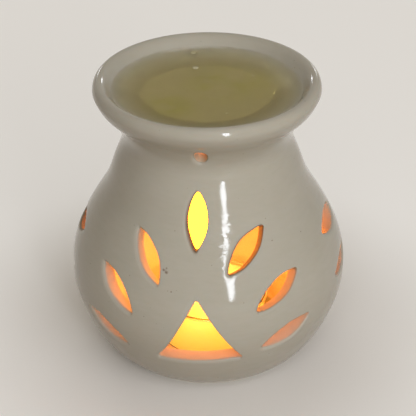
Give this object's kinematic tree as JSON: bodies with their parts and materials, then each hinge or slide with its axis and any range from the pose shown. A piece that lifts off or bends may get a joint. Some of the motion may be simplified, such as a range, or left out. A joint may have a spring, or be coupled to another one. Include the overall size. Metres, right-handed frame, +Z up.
{
  "type": "essential oil burner",
  "caption": "Glazed stoneware oil burner: a round pierced pot with a shallow dish of water and oil in its rolled lip, set down over a lit tealight.",
  "frame": {"origin": "on the table under the pot's axis", "axes": "+Z up along the pot's axis; the pierced front with the triangle faces -Y; +X is to the right as seen from the front"},
  "size_m": [0.09, 0.0899, 0.0965],
  "materials": {
    "stoneware_glaze": "glossy cream-grey glaze with fine dark specks",
    "water_and_oil": "clear, tinted yellow-green by the oil",
    "cup_clear_plastic": "clear moulded polycarbonate, glossy",
    "wax": "translucent paraffin wax, molten on top",
    "wick_cotton": "waxed cotton, charred at the tip",
    "tab_steel": "tinned steel"
  },
  "bodies": {
    "tealight": {"tealight_cup": "cup_clear_plastic", "wax": "wax", "wick": "wick_cotton", "wick_tab": "tab_steel"},
    "burner": {"pot": "stoneware_glaze", "water_and_oil": "water_and_oil"}
  },
  "joints": [
    {"name": "pot_lift", "type": "slide", "parent": "tealight", "child": "burner", "axis": [0, 0, 1], "range_m": [0, 0.06]}
  ]
}
